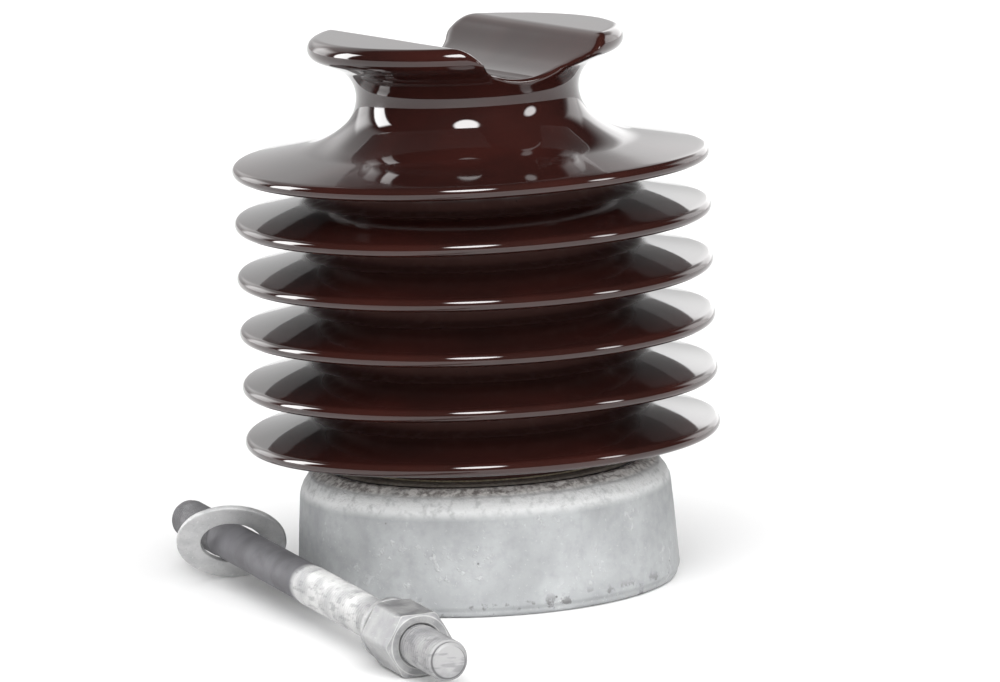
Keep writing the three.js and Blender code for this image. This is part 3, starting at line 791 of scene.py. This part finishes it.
def studio():
    """A pale studio: a bright backdrop behind, a dim room in front, and soft panels round it."""
    world = bpy.data.worlds.new("studio")
    bpy.context.scene.world = world
    world.use_nodes = True
    tree = world.node_tree
    tree.nodes.clear()

    def node(kind, inputs=None, **settings):
        made = tree.nodes.new(kind)
        for key, value in settings.items():
            setattr(made, key, value)
        for key, value in (inputs or {}).items():
            if isinstance(value, bpy.types.NodeSocket):
                tree.links.new(value, made.inputs[key])
            else:
                made.inputs[key].default_value = value
        return made

    looking = node("ShaderNodeTexCoord").outputs["Generated"]

    def dot(v):
        inputs = {0: looking, 1: tuple(v)}
        return node("ShaderNodeVectorMath", inputs, operation="DOT_PRODUCT").outputs["Value"]

    def calc(operation, a, b=0.0):
        return node("ShaderNodeMath", {0: a, 1: b}, operation=operation).outputs[0]

    def ease(value, low, high, to_low, to_high):
        inputs = {"Value": value, "From Min": low, "From Max": high, "To Min": to_low, "To Max": to_high}
        return node("ShaderNodeMapRange", inputs, interpolation_type="SMOOTHSTEP").outputs["Result"]

    def panel(azimuth, elevation, half_width, half_height, radiance, soft=0.12, is_round=False):
        """A flat panel far away, its half sizes in degrees."""
        ahead = direction(azimuth, elevation)
        right = ahead.cross(Vector((0, 0, 1))).normalized()
        up = right.cross(ahead)
        forward = dot(ahead)
        u = calc("DIVIDE", calc("DIVIDE", dot(right), forward), math.tan(math.radians(half_width)))
        v = calc("DIVIDE", calc("DIVIDE", dot(up), forward), math.tan(math.radians(half_height)))
        if is_round:
            reach = calc("SQRT", calc("ADD", calc("MULTIPLY", u, u), calc("MULTIPLY", v, v)))
        else:
            reach = calc("MAXIMUM", calc("ABSOLUTE", u), calc("ABSOLUTE", v))
        shape = ease(reach, 1 - soft, 1 + soft, radiance, 0.0)
        return calc("MULTIPLY", shape, calc("GREATER_THAN", forward, 0.0))

    # What the gloss shows: a bright backdrop behind, a dim room in front, and the panels.
    up = dot(Vector((0, 0, 1)))
    behind = dot(direction(180, 0))
    backdrop = calc("MULTIPLY", ease(behind, 0.35, 0.62, 0.0, 1.0), ease(up, 0.34, 0.53, 1.0, 0.0))
    gloss = calc("ADD", calc("MULTIPLY", backdrop, BACKDROP), ROOM)
    for spec in GLOSS_PANELS:
        gloss = calc("ADD", gloss, panel(*spec))
    # What lights the matt surfaces: the same studio, softened, with less from the sides.
    soft = calc("MULTIPLY", ease(up, -0.2, 1.0, AMBIENT_LOW, AMBIENT_HIGH),
                ease(dot(direction(LIT_FROM, LIT_HEIGHT)), -0.5, 0.93, LIT_LEAST, LIT_MOST))
    for spec in SOFT_PANELS:
        soft = calc("ADD", soft, panel(*spec))
    path = node("ShaderNodeLightPath").outputs
    sorts = {0: path["Is Glossy Ray"], 2: soft, 3: gloss}
    radiance = node("ShaderNodeMix", sorts, data_type="FLOAT").outputs[0]
    lit = node("ShaderNodeBackground", {"Strength": radiance, "Color": (1, 1, 1, 1)})
    plain = node("ShaderNodeBackground", {"Strength": 1.0, "Color": (1, 1, 1, 1)})
    both = node("ShaderNodeMixShader", {0: path["Is Camera Ray"], 1: lit.outputs[0], 2: plain.outputs[0]})
    node("ShaderNodeOutputWorld", {0: both.outputs[0]})


def floor():
    """A wide pale floor, its surface a hair under the pieces that stand on it."""
    sides = 96
    around = np.linspace(0, 2 * math.pi, sides, endpoint=False)
    rows = [[(r * math.cos(a), r * math.sin(a), 0) for a in around] for r in (0.5, 2, 8, 30)]
    points = [(0, 0, 0)] + [p for row in rows for p in row]
    faces = [(0, 1 + j, 1 + (j + 1) % sides) for j in range(sides)]
    for k in range(len(rows) - 1):
        for j in range(sides):
            a, b = 1 + sides * k + j, 1 + sides * k + (j + 1) % sides
            faces.append((a, a + sides, b + sides, b))
    mesh = bpy.data.meshes.new("floor")
    mesh.from_pydata(points, [], faces)
    s = Shader("pale_floor")
    tone = s.mix(s.noise(900, 2), linear(247, 247, 247), linear(251, 251, 251))
    s.set(Base_Color=tone, Roughness=0.6)
    s.surface.inputs["Specular IOR Level"].default_value = 0.25
    mesh.materials.append(s.material)
    made = bpy.data.objects.new("floor", mesh)
    made.location.z = -0.1 * MM
    bpy.context.scene.collection.objects.link(made)


porcelain()
base()
joint_pieces()
stud()
nut()
spring()
plate()
camera()
studio()
floor()
bpy.context.scene.view_settings.view_transform = "Standard"
